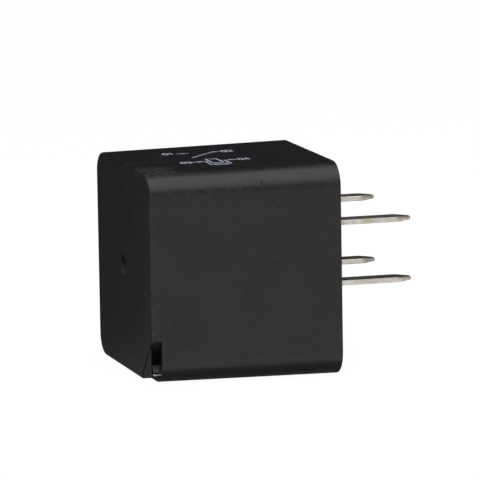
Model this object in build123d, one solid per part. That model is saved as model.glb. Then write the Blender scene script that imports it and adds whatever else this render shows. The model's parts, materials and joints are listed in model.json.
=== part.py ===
from build123d import *
import os
from math import cos, radians, sin, sqrt, tan

# Plug in relay. Millimetres.
# The origin is the centre of the seating face. +X runs out along the blades,
# +Y is the side of the contact terminals and +Z is the side with the printed circuit.

# Cover
COVER_SIZE = 28.0
COVER_LENGTH = 25.72
COVER_DRAFT = 0.78
COVER_CORNER_R = 3.2
COVER_END_FILLET = 0.4
COVER_RIM_FILLET = 0.2
CAVITY_SIZE = 25.6
CAVITY_DEPTH = 24.4
CAVITY_CORNER_R = 2.05
DIMPLE_D = 3.1
DIMPLE_DEPTH = 0.75
GATE_NUB_D = 0.7
GATE_NUB_H = 0.22

# Snap-off vent corner at the closed end. The corner lies beyond the line y + z = VENT_LINE.
VENT_LINE = -21.6
VENT_FLOOR_X = -24.3
VENT_TAB_THICK = 0.32
VENT_TAB_EDGE_Y = -13.1
VENT_TAB_LIP = 0.07
VENT_TAB_BEVEL = 0.45
VENT_POCKET_DEPTH = 3.4
VENT_GROOVE_W = 0.42
VENT_GROOVE_DEPTH = 0.18
VENT_WEB = 1.2
VENT_RAMP = [(-13.3, -12.05), (-12.5, -11.2), (-11.0, -11.2), (-11.0, -12.05)]
VENT_BAR = [
    (-14.0, -12.95), (-11.8, -12.95), (-11.8, -12.27),
    (-13.05, -12.27), (-13.25, -12.47), (-14.0, -12.47),
]
VENT_TRIM = [(-8.2, -13.55), (-13.2, -12.72), (-15.0, -12.42), (-15.0, -15.0), (-8.2, -15.0)]

# Base
BASE_SIZE = 25.3
BASE_THICK = 3.5
BASE_CORNER_R = 1.8
BASE_BEAD_H = 0.07
LEAD_IN_DEPTH = 0.3

# Terminals
BLADE_LENGTH = 11.07
BLADE_W = 2.8
BLADE_T = 0.65
BLADE_TIP_L = 1.9
BLADE_TIP_W = 1.1
BLADE_TIP_T = 0.42
BLADE_Y = 8.0
COIL_Z_UP = 5.5
COIL_Z_LOW = -2.5
CONTACT_Z_UP = 6.15
CONTACT_Z_LOW = -2.35
SHOULDER_W = 3.6
SHOULDER_L = 1.0
TAB_W = 1.4
TAB_END_X = -8.0

# Magnet system
AXIS_Z = -1.5
YOKE_T = 1.6
YOKE_HALF_W = 6.5
YOKE_FOOT_X = -4.6
YOKE_TOP_Z = 5.0
YOKE_END_X = -19.8
YOKE_LOW_Z = -11.2
CORE_R = 3.0
POLE_R = 4.5
POLE_T = 0.8
SPIGOT_R = 2.0
STAKE_R = 2.3
STAKE_END_X = -4.0
FLANGE_SIZE = 13.4
FLANGE_T = 1.0
BARREL_R = 3.9
WINDING_R = 6.3
STAKE_POST_R = 0.9
STAKE_POST_Y = 4.8
STAKE_POST_Z = -8.4

# Armature and contact system. These are stated closed and turned open by OPEN_ANGLE.
OPEN_ANGLE = 3.5
HINGE_X = -19.85
HINGE_Z = -11.2
ARMATURE_T = 1.5
ARMATURE_TOP_Z = 5.0
ARMATURE_HALF_W = 6.3
SPRING_T = 0.3
SPRING_HALF_W = 4.5
SPRING_TIP_HALF_W = 2.6
SPRING_TIP_Z = 10.8
SPRING_FOOT_X = -8.5
SPRING_FOOT_GAP = 0.01
CONTACT_Z = 8.5
CONTACT_R = 1.7
CONTACT_H = 0.9
RIVET_R = 0.8
RIVET_HEAD_R = 1.25
RIVET_HEAD_H = 0.5
SHELF_X = -18.7
BRAID_R = 0.5

# Resistor across the coil
RESISTOR_R = 1.2
RESISTOR_L = 6.5
RESISTOR_Y = -10.4
RESISTOR_X = -6.9
LEAD_R = 0.3
COIL_LEAD_R = 0.15
SOLDER_GAP = 0.04


def block(x0, x1, y0, y1, z0, z1):
    """A box between two corners."""
    centre = Pos((x0 + x1) / 2, (y0 + y1) / 2, (z0 + z1) / 2)
    return centre * Box(abs(x1 - x0), abs(y1 - y0), abs(z1 - z0))


def disc(x0, x1, y, z, r):
    """A round piece along X."""
    return Pos((x0 + x1) / 2, y, z) * Rot(0, 90, 0) * Cylinder(r, abs(x1 - x0))


def post(x, y, z0, z1, r):
    """A round piece along Z."""
    return Pos(x, y, (z0 + z1) / 2) * Cylinder(r, abs(z1 - z0))


def prism_xy(points, z0, z1):
    """A prism with an outline of (x, y) points."""
    outline = make_face(Polyline([(x, y, z0) for x, y in points], close=True))
    return extrude(outline, amount=z1 - z0, dir=(0, 0, 1))


def prism_xz(points, y0, y1):
    """A prism with an outline of (x, z) points."""
    outline = make_face(Polyline([(x, y0, z) for x, z in points], close=True))
    return extrude(outline, amount=y1 - y0, dir=(0, 1, 0))


def prism_yz(points, x0, x1):
    """A prism with an outline of (y, z) points."""
    outline = make_face(Polyline([(x0, y, z) for y, z in points], close=True))
    return extrude(outline, amount=x1 - x0, dir=(1, 0, 0))


def section_plane(x):
    """A plane across the relay that looks towards -X, with its own x axis along Y."""
    return Plane(origin=(x, 0, 0), x_dir=(0, 1, 0), z_dir=(-1, 0, 0))


def drafted(outline, length):
    """A prism that starts at the seating plane and narrows towards -X by the cover's draft."""
    return extrude(section_plane(0) * outline, amount=length, taper=COVER_DRAFT)


def corner_prism(line_sum, x0, x1):
    """Everything beyond the sloping line y + z = line_sum, out past the corner."""
    far = 16.0
    points = [(-far, line_sum + far), (-far, -far), (line_sum + far, -far)]
    return prism_yz(points, x0, x1)


def wire(points, r):
    """A round wire through the given points."""
    path = Spline([Vector(*p) for p in points])
    section = Plane(origin=path @ 0, z_dir=path % 0) * Circle(r)
    return sweep(section, path=path)


def bent_wire(points, bend_r, r):
    """A round wire with straight runs and rounded bends."""
    path = FilletPolyline([Vector(*p) for p in points], radius=bend_r)
    section = Plane(origin=path @ 0, z_dir=path % 0) * Circle(r)
    return sweep(section, path=path)


def opened(shape):
    """Turn a piece of the contact system from closed to open, about the hinge edge."""
    hinge = Axis((HINGE_X, 0, HINGE_Z), (0, 1, 0))
    return shape.rotate(hinge, -OPEN_ANGLE)


def opened_point(x, z):
    """Where a point of the closed contact system lies when it is open."""
    turn = radians(-OPEN_ANGLE)
    dx = x - HINGE_X
    dz = z - HINGE_Z
    return (HINGE_X + dx * cos(turn) + dz * sin(turn), HINGE_Z - dx * sin(turn) + dz * cos(turn))


# ---------------------------------------------------------------- cover


def cover_outside():
    body = drafted(RectangleRounded(COVER_SIZE, COVER_SIZE, COVER_CORNER_R), COVER_LENGTH)
    end_edges = body.edges().filter_by_position(Axis.X, -COVER_LENGTH - 0.01, -COVER_LENGTH + 0.01)
    body = fillet(end_edges, COVER_END_FILLET)
    rim_edges = body.edges().filter_by_position(Axis.X, -0.01, 0.01)
    return fillet(rim_edges, COVER_RIM_FILLET)


def cover_cavity():
    cavity = drafted(RectangleRounded(CAVITY_SIZE, CAVITY_SIZE, CAVITY_CORNER_R), CAVITY_DEPTH)
    web_line = VENT_LINE + VENT_WEB * sqrt(2)
    web = corner_prism(web_line, -CAVITY_DEPTH - 0.5, VENT_FLOOR_X + VENT_WEB)
    return cavity - web


def gate_dimple():
    rim_r = DIMPLE_D / 2
    ball_r = (rim_r**2 + DIMPLE_DEPTH**2) / (2 * DIMPLE_DEPTH)
    ball = Pos(-COVER_LENGTH - ball_r + DIMPLE_DEPTH, 0, 0) * Rot(0, 0, 180) * Sphere(ball_r)
    floor_x = -COVER_LENGTH + DIMPLE_DEPTH
    nub = disc(floor_x - GATE_NUB_H, floor_x + 0.3, 0, 0, GATE_NUB_D / 2)
    return ball - nub


def vent_tab_edge():
    """What is cut from the tab's free edge: it stands back from the side and ends in a thin lip."""
    out_x = -COVER_LENGTH - 0.5
    lip_x = -COVER_LENGTH + VENT_TAB_LIP
    back_x = -COVER_LENGTH + VENT_TAB_THICK
    beyond = -COVER_SIZE
    outline = [
        (out_x, beyond),
        (out_x, VENT_TAB_EDGE_Y),
        (lip_x, VENT_TAB_EDGE_Y),
        (back_x, VENT_TAB_EDGE_Y + VENT_TAB_BEVEL),
        (back_x, beyond),
    ]
    return prism_xy(outline, -COVER_SIZE, 0) & corner_prism(VENT_LINE, out_x, back_x)


def vent_pocket():
    """The shallow slot behind the thin vent tab, crossed by a ramp and a thin bar."""
    tab_back_x = -COVER_LENGTH + VENT_TAB_THICK
    inner = VENT_POCKET_DEPTH - COVER_SIZE / 2 + COVER_LENGTH * tan(radians(COVER_DRAFT))
    pocket = corner_prism(VENT_LINE, tab_back_x, VENT_FLOOR_X)
    core = block(tab_back_x - 1, VENT_FLOOR_X + 1, inner, 0, inner, 0)
    ramp = prism_yz(VENT_RAMP, tab_back_x, VENT_FLOOR_X)
    bar = prism_yz(VENT_BAR, tab_back_x, VENT_FLOOR_X)
    return pocket - core - ramp - bar


def vent_trim():
    """What is cut from the bottom of the vent tab and of its slot."""
    return prism_yz(VENT_TRIM, -COVER_LENGTH - 0.5, VENT_FLOOR_X)


def vent_groove():
    x0 = -COVER_LENGTH - 0.5
    x1 = -COVER_LENGTH + VENT_GROOVE_DEPTH
    beyond = corner_prism(VENT_LINE - VENT_GROOVE_W, x0 - 0.1, x1 + 0.1)
    return corner_prism(VENT_LINE, x0, x1) - beyond


def make_cover():
    cover = cover_outside() - cover_cavity()
    cover = cover - vent_pocket()
    cover = cover - vent_tab_edge()
    cover = cover - vent_groove()
    cover = cover - vent_trim()
    return cover - gate_dimple()


# ---------------------------------------------------------------- base


def blade_places():
    return [
        (-BLADE_Y, COIL_Z_UP),
        (-BLADE_Y, COIL_Z_LOW),
        (BLADE_Y, CONTACT_Z_UP),
        (BLADE_Y, CONTACT_Z_LOW),
    ]


def base_plinth():
    outline = section_plane(0) * RectangleRounded(BASE_SIZE, BASE_SIZE, BASE_CORNER_R)
    plinth = extrude(outline, amount=BASE_THICK)
    inner_edges = plinth.edges().filter_by_position(Axis.X, -BASE_THICK - 0.01, -BASE_THICK + 0.01)
    return chamfer(inner_edges, 0.35)


def base_beads():
    """Four low beads on the plinth's sides that locate the cover."""
    half = BASE_SIZE / 2
    beads = []
    for side in (-1, 1):
        edge = side * half
        out = side * (half + BASE_BEAD_H)
        beads.append(block(-2.6, -1.6, edge - side * 0.5, out, -4.0, 4.0))
        beads.append(block(-2.6, -1.6, -4.0, 4.0, edge - side * 0.5, out))
    return beads


def base_supports():
    """Pedestals under the yoke, its two stake posts, and the walls under the contact terminals."""
    pieces = [
        block(YOKE_FOOT_X, -BASE_THICK + 0.2, -5.4, 5.4, -10.2, -6.0),
        block(YOKE_FOOT_X, -BASE_THICK + 0.2, -5.4, 5.4, 2.2, 4.8),
        block(-11.0, -BASE_THICK + 0.2, 7.2, 9.0, 3.9, CONTACT_Z_UP - BLADE_T / 2),
        block(-9.5, -BASE_THICK + 0.2, 7.6, 9.8, -4.8, CONTACT_Z_LOW - BLADE_T / 2),
    ]
    for side in (-1, 1):
        y = side * STAKE_POST_Y
        pieces.append(disc(YOKE_FOOT_X - YOKE_T + 0.05, -BASE_THICK, y, STAKE_POST_Z, STAKE_POST_R))
    return pieces


def make_base():
    base = base_plinth()
    for piece in base_beads() + base_supports():
        base = base + piece
    for y, z in blade_places():
        slot = block(
            -BASE_THICK - 0.5, 1, y - BLADE_W / 2, y + BLADE_W / 2, z - BLADE_T / 2, z + BLADE_T / 2
        )
        lead_in = block(-LEAD_IN_DEPTH, 1, y - 2.0, y + 2.0, z - 0.85, z + 0.85)
        base = base - slot - lead_in - shoulder(y, z)
    stop_slot = block(-BASE_THICK - 0.5, -1.5, -1.5, 1.5, 11.3, 11.8)
    return base - stop_slot


# ---------------------------------------------------------------- terminals


def blade(y, z):
    """The outside part of a terminal, from the plinth's inner face to the tip."""
    w = BLADE_W / 2
    t = BLADE_T / 2
    tip_w = BLADE_TIP_W / 2
    tip_t = BLADE_TIP_T / 2
    neck_x = BLADE_LENGTH - BLADE_TIP_L
    plan = [
        (-BASE_THICK, y - w),
        (neck_x, y - w),
        (BLADE_LENGTH, y - tip_w),
        (BLADE_LENGTH, y + tip_w),
        (neck_x, y + w),
        (-BASE_THICK, y + w),
    ]
    side = [
        (-BASE_THICK, z - t),
        (neck_x + 0.3, z - t),
        (BLADE_LENGTH, z - tip_t),
        (BLADE_LENGTH, z + tip_t),
        (neck_x + 0.3, z + t),
        (-BASE_THICK, z + t),
    ]
    outline = prism_xy(plan, z - t, z + t)
    corners = outline.edges().filter_by(Axis.Z).filter_by_position(Axis.X, BLADE_LENGTH - 0.01, 99)
    outline = fillet(corners, 0.3)
    necks = outline.edges().filter_by(Axis.Z).filter_by_position(Axis.X, neck_x - 0.01, neck_x + 0.01)
    outline = fillet(necks, 1.2)
    return outline & prism_xz(side, y - w - 1, y + w + 1)


def shoulder(y, z):
    """The wide shoulder that seats on the plinth's inner face."""
    half = SHOULDER_W / 2
    x0 = -BASE_THICK - SHOULDER_L
    return block(x0, -BASE_THICK, y - half, y + half, z - BLADE_T / 2, z + BLADE_T / 2)


def coil_tab(z):
    """The narrow inner tab of a coil terminal, with a notch for the wires."""
    y = -BLADE_Y
    t = BLADE_T / 2
    tab = block(TAB_END_X, -BASE_THICK - SHOULDER_L, y - TAB_W / 2, y + TAB_W / 2, z - t, z + t)
    notch_a = disc_z(RESISTOR_X - 0.55, y - TAB_W / 2, z, 0.25)
    notch_b = disc_z(RESISTOR_X - 0.55, y + TAB_W / 2, z, 0.25)
    return tab - notch_a - notch_b


def disc_z(x, y, z, r):
    return post(x, y, z - 1, z + 1, r)


def make_coil_terminal(z):
    return blade(-BLADE_Y, z) + shoulder(-BLADE_Y, z) + coil_tab(z)


def make_common_terminal():
    t = BLADE_T / 2
    z = CONTACT_Z_LOW
    strip = block(-14.0, -BASE_THICK - SHOULDER_L, 7.2, 10.0, z - t, z + t)
    corners = strip.edges().filter_by(Axis.Z).filter_by_position(Axis.X, -14.01, -13.99)
    strip = fillet(corners, 0.8)
    return blade(BLADE_Y, z) + shoulder(BLADE_Y, z) + strip


def make_contact_terminal():
    t = BLADE_T / 2
    z = CONTACT_Z_UP
    back_x = SHELF_X - BLADE_T
    strip = block(back_x, -BASE_THICK - SHOULDER_L, 6.6, 9.4, z - t, z + t)
    shelf = block(back_x, SHELF_X, -2.6, 9.4, z - t, 10.5)
    plate = strip + shelf
    bend = plate.edges().filter_by(Axis.Y)
    bend = bend.filter_by_position(Axis.Z, z - t - 0.01, z - t + 0.01)
    bend = bend.filter_by_position(Axis.X, back_x - 0.01, back_x + 0.01)
    plate = fillet(bend, 0.5)
    plate = plate - disc(back_x - 1, SHELF_X + 1, 0, CONTACT_Z, 0.9)
    return blade(BLADE_Y, z) + shoulder(BLADE_Y, z) + plate


def make_fixed_contact():
    face_x = HINGE_X - ARMATURE_T + CONTACT_H + 0.05
    back_x = SHELF_X - BLADE_T
    head = disc(face_x, back_x, 0, CONTACT_Z, CONTACT_R)
    rim = head.edges().filter_by_position(Axis.X, face_x - 0.01, face_x + 0.01)
    head = fillet(rim, 0.3)
    shank = disc(back_x, SHELF_X, 0, CONTACT_Z, 0.9)
    tail = disc(SHELF_X, SHELF_X + 0.35, 0, CONTACT_Z, 1.25)
    return head + shank + tail


def make_back_stop():
    strip = block(-23.6, -1.5, -1.5, 1.5, 11.3, 11.8)
    hook = block(-23.6, -23.06, -1.5, 1.5, 9.95, 11.8)
    stop = strip + hook
    corner = stop.edges().filter_by(Axis.Y)
    corner = corner.filter_by_position(Axis.Z, 11.79, 11.81).filter_by_position(Axis.X, -23.61, -23.59)
    return fillet(corner, 0.4)


# ---------------------------------------------------------------- magnet system


def make_yoke():
    w = YOKE_HALF_W
    foot = block(YOKE_FOOT_X - YOKE_T, YOKE_FOOT_X, -w, w, YOKE_LOW_Z, YOKE_TOP_Z)
    leg = block(YOKE_END_X, YOKE_FOOT_X, -w, w, YOKE_LOW_Z, YOKE_LOW_Z + YOKE_T)
    yoke = foot + leg
    bend = yoke.edges().filter_by(Axis.Y)
    bend = bend.filter_by_position(Axis.X, YOKE_FOOT_X - 0.01, YOKE_FOOT_X + 0.01)
    bend = bend.filter_by_position(Axis.Z, YOKE_LOW_Z - 0.01, YOKE_LOW_Z + 0.01)
    yoke = fillet(bend, 1.3)
    top = yoke.edges().filter_by(Axis.X).filter_by_position(Axis.Z, YOKE_TOP_Z - 0.01, YOKE_TOP_Z + 0.01)
    yoke = fillet(top, 1.2)
    yoke = yoke - disc(-7, -4, 0, AXIS_Z, SPIGOT_R)
    for side in (-1, 1):
        yoke = yoke - disc(-7, -4, side * STAKE_POST_Y, STAKE_POST_Z, STAKE_POST_R + 0.03)
        yoke = yoke - post(-11.5, side * 2.6, -12, -9, RIVET_R)
    return yoke


def make_core():
    shank = disc(YOKE_END_X + POLE_T, YOKE_FOOT_X - YOKE_T, 0, AXIS_Z, CORE_R)
    head = disc(YOKE_END_X, YOKE_END_X + POLE_T, 0, AXIS_Z, POLE_R)
    rim = head.edges().filter_by_position(Axis.X, YOKE_END_X - 0.01, YOKE_END_X + 0.01)
    head = fillet(rim, 0.2)
    spigot = disc(YOKE_FOOT_X - YOKE_T, YOKE_FOOT_X, 0, AXIS_Z, SPIGOT_R)
    stake = disc(YOKE_FOOT_X, STAKE_END_X, 0, AXIS_Z, STAKE_R)
    return shank + head + spigot + stake


def bobbin_flange(x0, x1):
    half = FLANGE_SIZE / 2
    flange = block(x0, x1, -half, half, AXIS_Z - half, AXIS_Z + half)
    return fillet(flange.edges().filter_by(Axis.X), 1.0)


def make_bobbin():
    foot_x = YOKE_FOOT_X - YOKE_T
    pole_x = YOKE_END_X + POLE_T
    bobbin = disc(pole_x, foot_x, 0, AXIS_Z, BARREL_R)
    bobbin = bobbin + bobbin_flange(foot_x - FLANGE_T, foot_x)
    bobbin = bobbin + bobbin_flange(pole_x, pole_x + FLANGE_T)
    return bobbin - disc(pole_x - 1, foot_x + 1, 0, AXIS_Z, CORE_R)


def make_coil_winding():
    x0 = YOKE_END_X + POLE_T + FLANGE_T
    x1 = YOKE_FOOT_X - YOKE_T - FLANGE_T
    return disc(x0, x1, 0, AXIS_Z, WINDING_R) - disc(x0 - 1, x1 + 1, 0, AXIS_Z, BARREL_R)


def make_coil_leads():
    under_up = COIL_Z_UP - BLADE_T / 2 - COIL_LEAD_R - SOLDER_GAP
    under_low = COIL_Z_LOW - BLADE_T / 2 - COIL_LEAD_R - SOLDER_GAP
    upper = [(-7.7, -6.18, 0.5), (-7.7, -7.0, 1.6), (-7.1, -7.5, 3.6), (-6.9, -8.0, under_up)]
    lower = [(-7.9, -6.3, -3.2), (-8.0, -7.0, -3.9), (-7.9, -7.6, -3.7), (-7.7, -8.1, under_low)]
    return [wire(upper, COIL_LEAD_R), wire(lower, COIL_LEAD_R)]


# ---------------------------------------------------------------- resistor


def make_suppression_resistor():
    mid = (COIL_Z_UP + COIL_Z_LOW) / 2
    half = RESISTOR_L / 2
    body = post(RESISTOR_X, RESISTOR_Y, mid - half, mid + half, RESISTOR_R * 0.86)
    for side in (-1, 1):
        z_in = mid + side * (half - 1.7)
        z_out = mid + side * half
        body = body + post(RESISTOR_X, RESISTOR_Y, z_in, z_out, RESISTOR_R)
    ends = body.edges().filter_by(GeomType.CIRCLE).filter_by_position(Axis.Z, mid + half - 0.01, 99)
    body = fillet(ends, 0.45)
    ends = body.edges().filter_by(GeomType.CIRCLE).filter_by_position(Axis.Z, -99, mid - half + 0.01)
    return fillet(ends, 0.45)


def make_resistor_leads():
    mid = (COIL_Z_UP + COIL_Z_LOW) / 2
    leads = []
    for side in (-1, 1):
        tab_z = COIL_Z_UP if side > 0 else COIL_Z_LOW
        z_end = tab_z + side * (BLADE_T / 2 + LEAD_R + SOLDER_GAP)
        z_body = mid + side * RESISTOR_L / 2
        points = [
            (RESISTOR_X, RESISTOR_Y, z_body),
            (RESISTOR_X, RESISTOR_Y, z_end),
            (RESISTOR_X, -7.5, z_end),
        ]
        leads.append(bent_wire(points, 0.5, LEAD_R))
    return leads


def solder_bead(z):
    bead = post(-7.25, -8.0, z - 0.9, z + 0.9, 0.98)
    return chamfer(bead.edges().filter_by(GeomType.CIRCLE), 0.3)


def make_solder_joints(taken):
    """Solder on both coil terminals and on the braid's fixed end, around what it joins."""
    upper = solder_bead(COIL_Z_UP + 0.1)
    lower = solder_bead(COIL_Z_LOW - 0.1)
    top_z = CONTACT_Z_LOW + BLADE_T / 2
    braid = block(-12.8, -11.1, 8.1, 9.7, top_z, top_z + 0.75)
    braid = chamfer(braid.edges().filter_by_position(Axis.Z, top_z + 0.74, 99), 0.3)
    joints = []
    for blob in (upper, lower, braid):
        for piece in taken:
            blob = blob - piece
        joints.append(blob)
    return joints


# ---------------------------------------------------------------- armature and contacts


def make_armature():
    w = ARMATURE_HALF_W
    plate = block(HINGE_X - ARMATURE_T, HINGE_X, -w, w, HINGE_Z, ARMATURE_TOP_Z)
    top = plate.edges().filter_by(Axis.X).filter_by_position(Axis.Z, ARMATURE_TOP_Z - 0.01, 99)
    plate = fillet(top, 1.8)
    for side in (-1, 1):
        plate = plate - disc(-22, -19, side * 3.2, -4.0, RIVET_R)
    return opened(plate)


def make_armature_rivets():
    outer_x = HINGE_X - ARMATURE_T - SPRING_T
    rivets = []
    for side in (-1, 1):
        shank = disc(outer_x, HINGE_X - 0.1, side * 3.2, -4.0, RIVET_R)
        head = disc(outer_x - RIVET_HEAD_H, outer_x, side * 3.2, -4.0, RIVET_HEAD_R)
        rim = head.edges().filter_by_position(Axis.X, outer_x - RIVET_HEAD_H - 0.01, outer_x - 0.2)
        rivets.append(opened(fillet(rim, 0.35) + shank))
    return rivets


def spring_profile():
    """The leaf's middle line: flat along the yoke, a loop round the hinge, then up the armature."""
    foot_z = YOKE_LOW_Z - SPRING_FOOT_GAP - SPRING_T / 2
    mid_x = HINGE_X - ARMATURE_T - SPRING_T / 2
    start = (SPRING_FOOT_X, foot_z)
    bend_start = (-17.6, foot_z)
    bend_end = opened_point(mid_x, -8.6)
    tip = opened_point(mid_x, SPRING_TIP_Z)
    along = Vector(tip[0] - bend_end[0], tip[1] - bend_end[1]).normalized()
    loop = Spline(
        [bend_start, (-19.6, -11.82), (-21.5, -11.8), (-22.25, -10.9), bend_end],
        tangents=[(-1, 0), (along.X, along.Y)],
    )
    return Line(start, bend_start) + loop + Line(bend_end, tip)


def make_contact_spring():
    strip = Plane.XZ * trace(spring_profile(), line_width=SPRING_T)
    leaf = extrude(strip, amount=SPRING_HALF_W, both=True)
    leaf = leaf - block(-23.0, -18.4, -2.0, 2.0, -12.6, -9.3)
    for side in (-1, 1):
        trim = block(-25, -20, side * SPRING_TIP_HALF_W, side * 6, 6.2, 12)
        leaf = leaf - opened(trim)
        leaf = leaf - opened(disc(-23, -20, side * 3.2, -4.0, RIVET_R))
        leaf = leaf - post(-11.5, side * 2.6, -12, -9, RIVET_R + 0.05)
    return leaf - opened(disc(-23, -20, 0, CONTACT_Z, 0.9))


def make_moving_contact():
    inner_x = HINGE_X - ARMATURE_T
    outer_x = inner_x - SPRING_T
    head = disc(inner_x, inner_x + CONTACT_H, 0, CONTACT_Z, CONTACT_R)
    rim = head.edges().filter_by_position(Axis.X, inner_x + CONTACT_H - 0.01, 0)
    head = fillet(rim, 0.3)
    shank = disc(outer_x, inner_x, 0, CONTACT_Z, 0.9)
    tail = disc(outer_x - 0.35, outer_x, 0, CONTACT_Z, 1.25)
    return opened(head + shank + tail)


def make_spring_rivets():
    foot_z = YOKE_LOW_Z - SPRING_FOOT_GAP - SPRING_T - 0.01
    rivets = []
    for side in (-1, 1):
        y = side * 2.6
        shank = post(-11.5, y, foot_z, YOKE_LOW_Z + YOKE_T, RIVET_R)
        head = post(-11.5, y, foot_z - RIVET_HEAD_H, foot_z, RIVET_HEAD_R)
        rim = head.edges().filter_by_position(Axis.Z, -99, foot_z - RIVET_HEAD_H + 0.01)
        head = fillet(rim, 0.35)
        tail = post(-11.5, y, YOKE_LOW_Z + YOKE_T, YOKE_LOW_Z + YOKE_T + 0.35, 1.1)
        rivets.append(head + shank + tail)
    return rivets


def make_shunt_braid():
    low_z = CONTACT_Z_LOW + BLADE_T / 2 + BRAID_R + SOLDER_GAP
    spring_x, spring_z = opened_point(HINGE_X - ARMATURE_T - SPRING_T - BRAID_R - 0.02, 2.0)
    points = [
        (-11.4, 8.9, low_z),
        (-13.5, 8.9, low_z),
        (-17.0, 9.6, low_z + 0.35),
        (-20.4, 10.3, -0.6),
        (-22.6, 9.2, 0.6),
        (spring_x - 0.1, 6.9, 1.5),
        (spring_x, 4.6, spring_z),
        (spring_x, 2.2, spring_z),
    ]
    return wire(points, BRAID_R)


def as_one(shapes):
    return Compound(children=[s for shape in shapes for s in shape.solids()])


def build():
    coil_upper = make_coil_terminal(COIL_Z_UP)
    coil_lower = make_coil_terminal(COIL_Z_LOW)
    common = make_common_terminal()
    coil_leads = make_coil_leads()
    resistor_leads = make_resistor_leads()
    braid = make_shunt_braid()
    taken = [coil_upper, coil_lower, common, braid] + coil_leads + resistor_leads
    return {
        "cover": make_cover(),
        "base": make_base(),
        "coil_terminal_upper": coil_upper,
        "coil_terminal_lower": coil_lower,
        "common_terminal": common,
        "contact_terminal": make_contact_terminal(),
        "fixed_contact": make_fixed_contact(),
        "back_stop": make_back_stop(),
        "yoke": make_yoke(),
        "core": make_core(),
        "bobbin": make_bobbin(),
        "coil_winding": make_coil_winding(),
        "coil_leads": as_one(coil_leads),
        "suppression_resistor": make_suppression_resistor(),
        "resistor_leads": as_one(resistor_leads),
        "solder_joints": as_one(make_solder_joints(taken)),
        "armature": make_armature(),
        "armature_rivets": as_one(make_armature_rivets()),
        "contact_spring": make_contact_spring(),
        "moving_contact": make_moving_contact(),
        "spring_rivets": as_one(make_spring_rivets()),
        "shunt_braid": braid,
    }


os.makedirs("parts", exist_ok=True)
for node, shape in build().items():
    export_step(shape, f"parts/{node}.step")
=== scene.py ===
import json
import math
import random

import bmesh
import bpy
from mathutils import Matrix, Vector

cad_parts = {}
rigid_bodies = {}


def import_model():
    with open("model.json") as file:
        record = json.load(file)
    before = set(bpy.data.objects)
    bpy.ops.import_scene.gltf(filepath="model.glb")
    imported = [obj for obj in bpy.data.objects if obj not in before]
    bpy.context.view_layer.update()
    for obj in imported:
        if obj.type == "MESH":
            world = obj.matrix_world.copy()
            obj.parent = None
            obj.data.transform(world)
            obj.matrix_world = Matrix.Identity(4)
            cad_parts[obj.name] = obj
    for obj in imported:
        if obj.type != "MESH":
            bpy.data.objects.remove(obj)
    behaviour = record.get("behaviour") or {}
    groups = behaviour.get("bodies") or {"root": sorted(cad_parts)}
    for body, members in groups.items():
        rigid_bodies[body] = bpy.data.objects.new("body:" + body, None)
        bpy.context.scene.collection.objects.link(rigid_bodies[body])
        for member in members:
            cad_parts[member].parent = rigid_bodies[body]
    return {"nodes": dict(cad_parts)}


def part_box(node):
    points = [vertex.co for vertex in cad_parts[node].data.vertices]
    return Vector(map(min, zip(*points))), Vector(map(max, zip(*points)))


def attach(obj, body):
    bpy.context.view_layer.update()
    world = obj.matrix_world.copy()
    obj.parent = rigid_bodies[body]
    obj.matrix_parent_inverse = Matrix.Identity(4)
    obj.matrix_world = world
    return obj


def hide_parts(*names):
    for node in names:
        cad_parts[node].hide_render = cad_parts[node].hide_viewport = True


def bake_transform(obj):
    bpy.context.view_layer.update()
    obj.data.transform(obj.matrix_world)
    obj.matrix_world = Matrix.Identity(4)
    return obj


# Looks of the plug in relay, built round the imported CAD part. Lengths are written in
# millimetres and turned into metres by mm().

for default in list(bpy.data.objects):
    bpy.data.objects.remove(default)
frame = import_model()
bpy.context.view_layer.update()

BASE = "base_assembly"
MOVING = "armature_assembly"
COVER = "cover"

# sizes of the object in mm, and angles
HALF = 14.0  # half the cover's width at the rim
DRAFT = math.radians(0.78)  # of the cover's long sides
FLOOR_Z = -14.0  # what the relay lies on
HINGE_X, HINGE_Z = -19.85, -11.2  # the armature's knife edge
HINGE_OPEN = math.radians(-3.5)  # from closed to open
ARMATURE_T, SPRING_T = 1.5, 0.3
BLADE_HALF_T = 0.325
COMMON_BLADE_Z = -2.35
BRAID_R = 0.5


def mm(*values):
    """Millimetres to metres: one number, or a vector of three."""
    if len(values) == 1:
        return values[0] * 0.001
    return Vector(values) * 0.001


# ------------------------------------------------------------------ camera, light, floor


def make_camera():
    cam = bpy.data.cameras.new("camera")
    cam.sensor_width = 36.0
    cam.lens = 377.7
    cam.clip_start = 0.01
    cam.clip_end = 20.0
    obj = bpy.data.objects.new("camera", cam)
    bpy.context.scene.collection.objects.link(obj)
    right = Vector((0.96207, -0.27229, -0.01665)).normalized()
    ahead = Vector((0.26682, 0.95195, -0.15035)).normalized()
    up = right.cross(ahead)
    place = mm(-186.97, -632.07, 102.35)
    obj.matrix_world = Matrix(
        (
            (right.x, up.x, -ahead.x, place.x),
            (right.y, up.y, -ahead.y, place.y),
            (right.z, up.z, -ahead.z, place.z),
            (0, 0, 0, 1),
        )
    )
    bpy.context.scene.camera = obj


def softbox(name, place, target, width, height, radiance, tint=(1, 1, 1)):
    """A rectangular soft light that the camera doesn't see. Lengths are in metres."""
    light = bpy.data.lights.new(name, "AREA")
    light.shape = "RECTANGLE"
    light.size = width
    light.size_y = height
    light.energy = radiance * math.pi * width * height
    light.color = tint
    obj = bpy.data.objects.new(name, light)
    bpy.context.scene.collection.objects.link(obj)
    obj.location = place
    aim = Vector(target) - Vector(place)
    obj.rotation_mode = "QUATERNION"
    obj.rotation_quaternion = aim.to_track_quat("-Z", "Y")
    obj.visible_camera = False


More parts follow.
